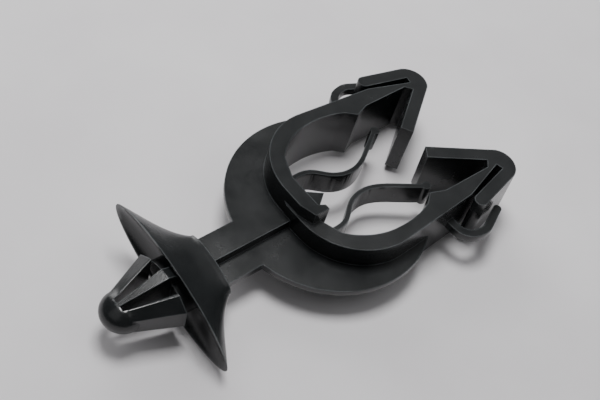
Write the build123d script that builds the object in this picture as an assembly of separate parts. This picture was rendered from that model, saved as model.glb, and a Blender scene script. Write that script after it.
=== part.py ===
from build123d import *
import math
import os

# A one-piece moulded clip that carries two cables and snaps into a hole in a panel.
# Millimetres. X runs along the clip, from the anchor nose to the jaw tips. The rim of
# the spring dish lies in the plane x = 0, and Z is the direction of moulding.
# Stem, plates and jaws are one half, and the same half turned 180 degrees about X.

# Spring dish: an oval trumpet with a thin rim and a shallow front that presses on the panel
dish_half_width = 9.45
dish_half_height = 2.95
dish_depth = 4.65
dish_flare = 1.4
dish_turn = 11.0
front_depth = 1.2
rim_width = 0.25
hub_half_width = 3.3
hub_half_height = 1.15
collar_length = 0.8
collar_step = 0.1
boss_half_width = 3.0
boss_half_height = 1.4
boss_length = 0.4

# Anchor: a rounded nose, two barbs that spring inwards and a tall spine between them
nose_reach = 7.3
nose_length = 2.15
nose_half_width = 2.2
nose_half_height = 1.6
barb_gap = 0.85
barb_root_setback = 0.75
barb_root_y = 1.62
barb_root_side = 0.85
barb_end_y = 3.75
barb_end_side = 1.1
barb_inside_y = 2.4
barb_inside_height = 2.2
slot_nose_y = 0.75
slot_setback = 0.55
spine_nose_height = 1.5
spine_end_height = 2.65
spine_nose_width = 0.35
spine_dish_width = 1.2

# Stem: two flanges at different levels, joined by a web in the middle
stem_length = 9.4
stem_half_width = 2.6
web_thickness = 0.6
flange_top = 0.85
flange_thickness = 0.7

# Flange plate round each jaw
plate_radius = 10.8
plate_centre_offset = 5.45

# Jaw band: the wall that runs from the head round the cable space to the tip
jaw_height = 6.0
jaw_rise = 0.7
jaw_lean = 2.2
jaw_half_width = 8.9
head_thickness = 1.65
head_overlap = 2.5
head_straight = 1.6
head_chamfer = 0.6
lobe_reach = 0.7
lobe_length = 0.6
wedge_reach = 2.6
wedge_half_width = 1.9
belly_length = 8.0
arm_length = 9.3
arm_taper = 0.5
band_thickness = 1.55

# Cable space inside the band, with the stop that keeps the cable in
root_corner_in = 0.95
root_corner_y = 4.85
stop_distance = 13.65
stop_height = 1.5
stop_ramp = 1.1
stop_length = 1.7
stop_back_step = 0.65

# Tip of each jaw, folded into a lip that leads inwards and a leg that runs back outside
tip_length = 7.3
tip_wall = 2.0
tip_drop = 1.45
slot_width_at_tip = 0.75
slot_width_at_end = 0.4
leg_thickness = 1.45
arm_tip_thickness = 0.55
lip_angle = 34.2
lip_length = 6.6
lip_thickness = 1.45
lip_slot_width = 1.2

# Leaf spring that presses the cable against the band
leaf_thickness = 0.5
leaf_height = 2.6
leaf_root_y = 2.8
leaf_hump_y = 3.35
leaf_belly_y = 1.15
leaf_end_gap = 1.6
leaf_bead_radius = 0.5

# Side hook outside each jaw
hook_thickness = 0.9
hook_height = 0.9
hook_reach = 3.0
hook_setback = 2.4
hook_length = 5.7
hook_bend_radius = 1.9
hook_tail_drop = 1.2

# Places that follow from the sizes above
head_x = dish_depth + stem_length
head_front_x = head_x + head_thickness
wide_x = head_x + belly_length
knee_x = wide_x + arm_length
tip_x = knee_x + tip_length
knee_y = jaw_half_width - arm_taper
inner_y = jaw_half_width - band_thickness
stop_x = head_x + stop_distance
stop_y = inner_y - stop_height
jaw_top = jaw_height / 2 + jaw_rise
jaw_bottom = jaw_top - jaw_height
nose_centre_x = nose_length - nose_reach


def section_plane(x):
    return Plane(origin=(x, 0, 0), x_dir=(0, 1, 0), z_dir=(1, 0, 0))


def dish_section(step):
    taper = (1 - step) ** dish_flare
    half_width = hub_half_width + (dish_half_width - hub_half_width) * taper
    half_height = hub_half_height + (dish_half_height - hub_half_height) * taper
    return section_plane(dish_depth * step) * Ellipse(half_width, half_height)


def make_dish():
    body = loft([dish_section(step) for step in (0, 0.35, 0.7, 1)])
    # The front is hollowed by the cap of an ellipsoid that runs out just inside the rim
    cap_share = 0.4
    cap_spread = math.sqrt(1 - (1 - cap_share) ** 2)
    cap_size = (
        front_depth / cap_share,
        (dish_half_width - rim_width) / cap_spread,
        (dish_half_height - rim_width) / cap_spread,
    )
    body -= Pos(-(1 - cap_share) * cap_size[0], 0, 0) * scale(Sphere(1), cap_size)
    collar_face = Ellipse(hub_half_width + collar_step, hub_half_height + collar_step)
    body += extrude(section_plane(dish_depth - collar_length) * collar_face, collar_length)
    boss_face = Ellipse(boss_half_width, boss_half_height)
    body += extrude(section_plane(-boss_length) * boss_face, boss_length + 2 * front_depth)
    return body.rotate(Axis.X, dish_turn)


def barb_section(x, side_y, side_height, inside_y, inside_height):
    # Both barbs with the space between them: upright sides, then sloping faces
    corners = [(side_y, side_height), (inside_y, inside_height)]
    right = [(y, -z) for y, z in reversed(corners)] + corners
    left = [(-y, -z) for y, z in right]
    return section_plane(x) * make_face(Polyline(*right, *left, close=True))


def make_anchor():
    nose = scale(Sphere(1), (nose_length, nose_half_width, nose_half_height))
    anchor = Pos(nose_centre_x, 0, 0) * nose
    root_x = nose_centre_x - barb_root_setback
    anchor += loft([
        barb_section(root_x, barb_root_y, barb_root_side, slot_nose_y, spine_nose_height - 0.2),
        barb_section(-barb_gap, barb_end_y, barb_end_side, barb_inside_y, barb_inside_height),
    ])
    slot_x = nose_centre_x - slot_setback
    slots = Polyline(
        (slot_x, -slot_nose_y),
        (0, -barb_inside_y),
        (0, barb_inside_y),
        (slot_x, slot_nose_y),
        close=True,
    )
    anchor -= extrude(make_face(slots), 2 * barb_inside_height, both=True)
    spine_end_x = front_depth
    spine_outline = Polyline(
        (root_x, -spine_nose_width / 2),
        (-barb_gap, -spine_dish_width / 2),
        (spine_end_x, -spine_dish_width / 2),
        (spine_end_x, spine_dish_width / 2),
        (-barb_gap, spine_dish_width / 2),
        (root_x, spine_nose_width / 2),
        close=True,
    )
    spine_side = Polyline(
        (root_x, -spine_nose_height),
        (-barb_gap, -spine_end_height),
        (spine_end_x, 0.5 * boss_half_height - spine_end_height),
        (spine_end_x, spine_end_height - 0.5 * boss_half_height),
        (-barb_gap, spine_end_height),
        (root_x, spine_nose_height),
        close=True,
    )
    spine = extrude(make_face(spine_outline), spine_end_height, both=True)
    spine &= extrude(Plane.XZ * make_face(spine_side), spine_dish_width, both=True)
    return anchor + spine


def jaw_face():
    # Outside of the band, from the end of the head round to the slot
    head_end = Vector(head_x + head_chamfer, -head_overlap)
    head_bend = Vector(head_x, -0.3 * head_overlap)
    head_side = Vector(head_x, head_straight)
    wide = Vector(wide_x, jaw_half_width)
    knee = Vector(knee_x, knee_y)
    slot_tip = Vector(tip_x - tip_wall, knee_y - tip_drop)
    arm_direction = (slot_tip - knee).normalized()
    arm_normal = Vector(-arm_direction.Y, arm_direction.X)
    # Leg that runs back outside, parted from the arm by the slot
    leg_root = slot_tip + arm_normal * slot_width_at_tip
    leg_inner_end = knee + arm_normal * slot_width_at_end + arm_direction * 0.15
    leg_outer_end = leg_inner_end + arm_normal * leg_thickness
    leg_round = (leg_inner_end + leg_outer_end) * 0.5 - arm_direction * (leg_thickness / 2)
    leg_outer_root = leg_root + arm_normal * leg_thickness
    # Inside of the tip and the lip that leads inwards
    arm_inner_tip = slot_tip - arm_normal * arm_tip_thickness - arm_direction
    lip_direction = Vector(-math.cos(math.radians(lip_angle)), -math.sin(math.radians(lip_angle)))
    lip_normal = Vector(-lip_direction.Y, lip_direction.X)
    lip_root = arm_inner_tip + lip_normal * (0.8 * lip_slot_width) - lip_direction * 0.15
    lip_end = lip_root + lip_direction * lip_length
    lip_outer_end = lip_end + lip_normal * lip_thickness
    lip_outer_root = lip_root + lip_normal * lip_thickness - lip_direction * (0.6 * tip_wall)
    tip_round = Vector(tip_x, (leg_outer_root.Y + lip_outer_root.Y) / 2)
    # Stop and cable space
    stop_back = Vector(stop_x + stop_length, stop_y + stop_back_step)
    stop_peak = Vector(stop_x, stop_y)
    stop_front = Vector(stop_x - stop_ramp, inner_y - 0.42 * stop_height)
    space_wide = Vector(wide_x, inner_y)
    space_bow = (stop_front + space_wide) * 0.5 + Vector(0, 0.18 * stop_height)
    root_corner = Vector(head_front_x + root_corner_in, root_corner_y)
    root_bow = (root_corner + space_wide) * 0.5 + Vector(-0.4, 0.45)
    root = Vector(head_front_x, root_corner_y / 2)
    lobe_start = Vector(head_front_x, lobe_length + 0.5 * lobe_reach - head_overlap)
    lobe_corner = Vector(head_front_x + lobe_reach, lobe_length - head_overlap)
    head_front = Vector(head_front_x + lobe_reach, -head_overlap)
    edges = [
        Line(head_end, head_bend),
        Line(head_bend, head_side),
        TangentArc(head_side, wide, tangent=(0, 1)),
        Line(wide, knee),
        Line(knee, slot_tip),
        Line(slot_tip, leg_root),
        Line(leg_root, leg_inner_end),
        ThreePointArc(leg_inner_end, leg_round, leg_outer_end),
        Line(leg_outer_end, leg_outer_root),
        ThreePointArc(leg_outer_root, tip_round, lip_outer_root),
        Line(lip_outer_root, lip_outer_end),
        Line(lip_outer_end, lip_end),
        Line(lip_end, lip_root),
        Line(lip_root, arm_inner_tip),
        Line(arm_inner_tip, stop_back),
        Line(stop_back, stop_peak),
        Line(stop_peak, stop_front),
        ThreePointArc(stop_front, space_bow, space_wide),
        ThreePointArc(space_wide, root_bow, root_corner),
        Line(root_corner, root),
        Line(root, lobe_start),
        Line(lobe_start, lobe_corner),
        Line(lobe_corner, head_front),
        Line(head_front, head_end),
    ]
    return make_face(edges)


def leaf_face():
    tip_y = stop_y - leaf_end_gap
    points = [
        (head_front_x - 0.3, leaf_root_y),
        (head_front_x + 0.14 * stop_distance, leaf_hump_y),
        (head_front_x + 0.25 * stop_distance, 0.5 * leaf_hump_y + 0.5 * leaf_root_y),
        (head_front_x + 0.37 * stop_distance, 0.4 * leaf_root_y + 0.6 * leaf_belly_y),
        (head_front_x + 0.56 * stop_distance, leaf_belly_y),
        (head_front_x + 0.78 * stop_distance, 0.6 * leaf_belly_y + 0.4 * tip_y),
        (head_front_x + stop_distance, tip_y),
    ]
    return trace(Spline(*points), leaf_thickness) + Pos(*points[-1]) * Circle(leaf_bead_radius)


def hook_face():
    hook_x = knee_x - hook_setback
    outside_y = knee_y + hook_reach
    tail = (hook_x + hook_length, outside_y - hook_tail_drop)
    path = FilletPolyline(
        (hook_x, knee_y - 0.5),
        (hook_x, outside_y - 0.3),
        (hook_x + 0.45 * hook_length, outside_y + 0.2),
        tail,
        radius=hook_bend_radius,
    )
    return trace(path, hook_thickness) + Pos(*tail) * Circle(hook_thickness / 2)


def make_jaw():
    band = extrude(jaw_face(), jaw_height)
    leaf = Pos(0, 0, (jaw_height - leaf_height) / 2) * extrude(leaf_face(), leaf_height)
    jaw = Pos(0, 0, jaw_bottom) * (band + leaf)
    lean_axis = Axis((head_x, 0, 0), (0, 1, 0))
    jaw = jaw.rotate(lean_axis, jaw_lean)
    return jaw + extrude(hook_face(), hook_height / 2, both=True)


def make_wedge():
    # Gusset between the roots of the two leaves
    outline = Polyline(
        (head_front_x - 0.5, -wedge_half_width),
        (head_front_x, -wedge_half_width),
        (head_front_x + wedge_reach, 0),
        (head_front_x, wedge_half_width),
        (head_front_x - 0.5, wedge_half_width),
        close=True,
    )
    return extrude(make_face(outline), -jaw_bottom - 0.1, both=True)


def make_plate():
    # The disc of the plate, without what lies inside the middle line of the band
    middle_x = head_x + head_thickness / 2
    middle_y = jaw_half_width - band_thickness / 2
    inside = make_face([
        Line((middle_x, -plate_radius), (middle_x, head_straight)),
        TangentArc((middle_x, head_straight), (wide_x, middle_y), tangent=(0, 1)),
        Line((wide_x, middle_y), (tip_x, middle_y)),
        Line((tip_x, middle_y), (tip_x, -plate_radius)),
        Line((tip_x, -plate_radius), (middle_x, -plate_radius)),
    ])
    centre_x = head_x + plate_centre_offset
    half_room = Pos(head_x - plate_radius, -web_thickness / 2) * Rectangle(
        3 * plate_radius, 2 * plate_radius, align=(Align.MIN, Align.MIN)
    )
    disc = (Pos(centre_x, 0) * Circle(plate_radius)) & half_room
    flange = Pos(dish_depth - collar_length, -web_thickness / 2) * Rectangle(
        stem_length + collar_length + head_thickness / 2,
        stem_half_width + web_thickness / 2,
        align=(Align.MIN, Align.MIN),
    )
    outline = (disc - inside) + flange
    plate = Pos(0, 0, flange_top - flange_thickness) * extrude(outline, flange_thickness)
    web_length = stem_length + collar_length + head_thickness / 2
    web = Pos(dish_depth - collar_length + web_length / 2, 0, 0) * Box(
        web_length, web_thickness, 2 * flange_top
    )
    return plate + web


half = make_plate() + make_jaw()
other_half = half.rotate(Axis.X, 180)
clip = half + other_half + make_wedge() + make_dish() + make_anchor()

os.makedirs("parts", exist_ok=True)
export_step(clip, "parts/cable_clip.step")
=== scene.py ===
import bmesh
import bpy
from mathutils import Matrix, Vector


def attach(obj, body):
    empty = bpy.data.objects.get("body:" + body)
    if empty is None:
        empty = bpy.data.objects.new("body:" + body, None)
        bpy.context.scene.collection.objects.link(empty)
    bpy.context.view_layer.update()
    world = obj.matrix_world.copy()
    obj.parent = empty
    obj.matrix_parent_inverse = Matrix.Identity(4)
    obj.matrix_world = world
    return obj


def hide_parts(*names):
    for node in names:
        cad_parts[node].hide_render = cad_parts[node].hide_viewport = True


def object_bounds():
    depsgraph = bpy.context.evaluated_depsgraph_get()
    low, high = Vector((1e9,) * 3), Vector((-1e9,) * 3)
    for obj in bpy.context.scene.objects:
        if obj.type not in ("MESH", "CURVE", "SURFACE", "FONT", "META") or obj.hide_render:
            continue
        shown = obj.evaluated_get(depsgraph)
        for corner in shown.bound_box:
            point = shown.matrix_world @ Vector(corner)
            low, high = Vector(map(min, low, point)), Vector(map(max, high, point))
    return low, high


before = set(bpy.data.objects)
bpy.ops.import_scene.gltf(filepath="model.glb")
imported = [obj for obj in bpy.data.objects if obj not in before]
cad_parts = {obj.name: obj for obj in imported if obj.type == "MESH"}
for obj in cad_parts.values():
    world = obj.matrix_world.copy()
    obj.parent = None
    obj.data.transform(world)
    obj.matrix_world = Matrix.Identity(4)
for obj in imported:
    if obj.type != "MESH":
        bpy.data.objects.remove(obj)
cad_box = [list(corner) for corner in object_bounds()]
scene = bpy.context.scene


# Clip moulding: one shot of black nylon 66, from a two-part mould with fine spark-eroded
# walls. The edges of a mould are never knife sharp, so the solid is taken over with a
# tenth of a millimetre of radius on each sharp edge.

edge_radius = 0.00011
flat_angle = 0.012
sharp_angle = 0.5
merge_distance = 1e-6
handling_mark = 0.00385
mould_grain = 0.000154
grain_depth = 0.00003
# Width of the pale edges: rubbed wear plus a painted edge highlight
pale_edge_width = 0.00024


def linear(hex_colour):
    channels = [int(hex_colour[i:i + 2], 16) / 255 for i in (1, 3, 5)]
    return [c / 12.92 if c <= 0.04045 else ((c + 0.055) / 1.055) ** 2.4 for c in channels] + [1.0]


def grey(value):
    return [value, value, value, 1.0]


def new_material(name):
    material = bpy.data.materials.new(name)
    material.use_nodes = True
    material.node_tree.nodes.clear()
    return material


def add_node(tree, kind, settings=None, inputs=None, links=None, stops=None):
    node = tree.nodes.new(kind)
    for name, value in (settings or {}).items():
        setattr(node, name, value)
    for socket, value in (inputs or {}).items():
        node.inputs[socket].default_value = value
    for socket, source in (links or {}).items():
        tree.links.new(source, node.inputs[socket])
    for number, (position, colour) in enumerate(stops or []):
        node.color_ramp.elements[number].position = position
        node.color_ramp.elements[number].color = colour
    return node


# Nylon coloured through with carbon black: a deep black with a satin gloss, so upright walls
# mirror the pale table while the tops stay dark
nylon = new_material("nylon_66_black_moulded")
tree = nylon.node_tree
place = add_node(tree, "ShaderNodeTexCoord").outputs["Object"]
# Flow and handling marks, about 4 mm across
cloud = add_node(
    tree, "ShaderNodeTexNoise",
    inputs={"Scale": 1 / handling_mark, "Detail": 4.0, "Roughness": 0.6}, links={"Vector": place},
)
# Grain of the mould wall, drawn at 0.15 mm, a few times coarser than it is, so that it shows
grain = add_node(
    tree, "ShaderNodeTexNoise",
    inputs={"Scale": 1 / mould_grain, "Detail": 2.0, "Roughness": 0.5}, links={"Vector": place},
)
body_colour = add_node(
    tree, "ShaderNodeValToRGB", links={"Fac": cloud.outputs["Fac"]},
    stops=[(0.32, linear("#17191A")), (0.72, linear("#202223"))],
)
body_roughness = add_node(
    tree, "ShaderNodeValToRGB", links={"Fac": cloud.outputs["Fac"]},
    stops=[(0.3, grey(0.21)), (0.7, grey(0.28))],
)
# Edges painted pale: partly rubbed pale and smooth by handling, partly a painted highlight where the
# rounded edges catch the light, more in some places than in others. They are found where a normal that
# is averaged over a quarter of a millimetre leaves the true one.
averaged = add_node(tree, "ShaderNodeBevel", {"samples": 6}, {"Radius": pale_edge_width})
true_normal = add_node(tree, "ShaderNodeNewGeometry")
flatness = add_node(
    tree, "ShaderNodeVectorMath", {"operation": "DOT_PRODUCT"},
    links={0: averaged.outputs["Normal"], 1: true_normal.outputs["Normal"]},
)
edges = add_node(
    tree, "ShaderNodeValToRGB", links={"Fac": flatness.outputs["Value"]},
    stops=[(0.86, grey(1.0)), (0.99, grey(0.0))],
)
rub_and_highlight_patches = add_node(
    tree, "ShaderNodeValToRGB", links={"Fac": cloud.outputs["Fac"]},
    stops=[(0.35, grey(0.25)), (0.65, grey(1.0))],
)
worn_and_highlight = add_node(
    tree, "ShaderNodeMath", {"operation": "MULTIPLY"},
    links={0: edges.outputs["Color"], 1: rub_and_highlight_patches.outputs["Color"]},
)
# Pale edge colour: rubbed wear plus a painted edge highlight
colour = add_node(
    tree, "ShaderNodeMixRGB", inputs={"Color2": linear("#5A5E60")},
    links={"Fac": worn_and_highlight.outputs["Value"], "Color1": body_colour.outputs["Color"]},
)
roughness = add_node(
    tree, "ShaderNodeMixRGB", inputs={"Color2": grey(0.18)},
    links={"Fac": worn_and_highlight.outputs["Value"], "Color1": body_roughness.outputs["Color"]},
)
bump = add_node(
    tree, "ShaderNodeBump",
    inputs={"Strength": 0.3, "Distance": grain_depth}, links={"Height": grain.outputs["Fac"]},
)
shader = add_node(
    tree, "ShaderNodeBsdfPrincipled",
    inputs={"IOR": 1.53, "Metallic": 0.0},
    links={
        "Base Color": colour.outputs["Color"],
        "Roughness": roughness.outputs["Color"],
        "Normal": bump.outputs["Normal"],
    },
)
add_node(tree, "ShaderNodeOutputMaterial", links={"Surface": shader.outputs["BSDF"]})

# The solid's triangles are merged back into whole faces, so that only real edges are rounded
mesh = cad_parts["cable_clip"].data.copy()
mesh.name = "clip_moulding"
mesh.materials.clear()
mesh.materials.append(nylon)
shape = bmesh.new()
shape.from_mesh(mesh)
bmesh.ops.remove_doubles(shape, verts=shape.verts, dist=merge_distance)
bmesh.ops.dissolve_limit(
    shape, angle_limit=flat_angle, verts=shape.verts, edges=shape.edges, use_dissolve_boundaries=False
)
for face in shape.faces:
    face.smooth = True
shape.to_mesh(mesh)
shape.free()
clip = bpy.data.objects.new("clip_moulding", mesh)
scene.collection.objects.link(clip)
rounding = clip.modifiers.new("rounded_edges", "BEVEL")
rounding.width = edge_radius
rounding.segments = 2
rounding.limit_method = "ANGLE"
rounding.angle_limit = sharp_angle
# Large faces keep their own normal, so that they shade flat up to the rounding
flat_faces = clip.modifiers.new("flat_faces", "WEIGHTED_NORMAL")
flat_faces.weight = 80
depsgraph = bpy.context.evaluated_depsgraph_get()
finished = bpy.data.meshes.new_from_object(clip.evaluated_get(depsgraph))
clip.modifiers.clear()
clip.data = finished
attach(clip, "root")
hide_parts("cable_clip")


# Table: a sheet of white card under the clip, wide enough to fill the picture. It is matt,
# with a faint mottle about 17 mm across, and lies at the height of the clip's lowest point.

table_size = 1.6
mottle_size = 0.0167

bpy.ops.mesh.primitive_plane_add(size=table_size, location=(0.02, 0, cad_box[0][2]))
table = bpy.context.object
table.name = "table"
card = new_material("card_white_matt")
tree = card.node_tree
place = add_node(tree, "ShaderNodeTexCoord").outputs["Object"]
mottle = add_node(
    tree, "ShaderNodeTexNoise",
    inputs={"Scale": 1 / mottle_size, "Detail": 5.0}, links={"Vector": place},
)
tone = add_node(
    tree, "ShaderNodeValToRGB", links={"Fac": mottle.outputs["Fac"]},
    stops=[(0.3, linear("#DFDCDF")), (0.7, linear("#E8E6E8"))],
)
shader = add_node(
    tree, "ShaderNodeBsdfPrincipled",
    inputs={"Roughness": 0.85, "Specular IOR Level": 0.2}, links={"Base Color": tone.outputs["Color"]},
)
add_node(tree, "ShaderNodeOutputMaterial", links={"Surface": shader.outputs["BSDF"]})
table.data.materials.append(card)


# Light: a soft lamp almost overhead, a low window behind the jaws, weaker windows to the
# left, to the right and past the jaw tips, and a weak sky.

world = bpy.data.worlds.new("soft_sky")
scene.world = world
world.use_nodes = True
sky = world.node_tree.nodes["Background"]
sky.inputs["Color"].default_value = linear("#E9EBEE")
sky.inputs["Strength"].default_value = 0.07

middle_of_clip = Vector((0.016, 0, 0))
lamps = {
    "overhead_lamp": ((0.032, 0.043, 0.215), 0.08, 0.44),
    "low_window": ((0.086, 0.192, 0.082), 0.16, 0.28),
    "left_window": ((-0.131, 0.0, 0.163), 0.16, 0.03),
    "right_window": ((0.120, -0.104, 0.163), 0.16, 0.055),
    "jaw_window": ((0.163, 0.0, 0.163), 0.16, 0.02),
    "corner_window": ((0.160, 0.144, 0.082), 0.16, 0.02),
}
for name, (location, size, watts) in lamps.items():
    data = bpy.data.lights.new(name, "AREA")
    data.shape = "SQUARE"
    data.size = size
    data.energy = watts
    lamp = bpy.data.objects.new(name, data)
    lamp.location = location
    lamp.rotation_mode = "QUATERNION"
    lamp.rotation_quaternion = (middle_of_clip - lamp.location).to_track_quat("-Z", "Y")
    scene.collection.objects.link(lamp)


# Camera: above and to the left of the anchor, rolled as the clip lies in the picture.

camera_place = Vector((-0.035688, -0.038441, 0.078002))
camera_right = Vector((0.76015, -0.61961, 0.19559))
camera_up = Vector((0.39543, 0.68002, 0.61742))
camera_back = Vector((-0.51557, -0.39199, 0.76193))
camera_data = bpy.data.cameras.new("camera")
camera_data.sensor_fit = "HORIZONTAL"
camera_data.sensor_width = 36.0
camera_data.lens = 60.60
camera_data.clip_start = 0.005
camera_data.clip_end = 10.0
camera = bpy.data.objects.new("camera", camera_data)
camera.matrix_world = Matrix.Translation(camera_place) @ Matrix(
    (camera_right, camera_up, camera_back)
).transposed().to_4x4()
scene.collection.objects.link(camera)
scene.camera = camera
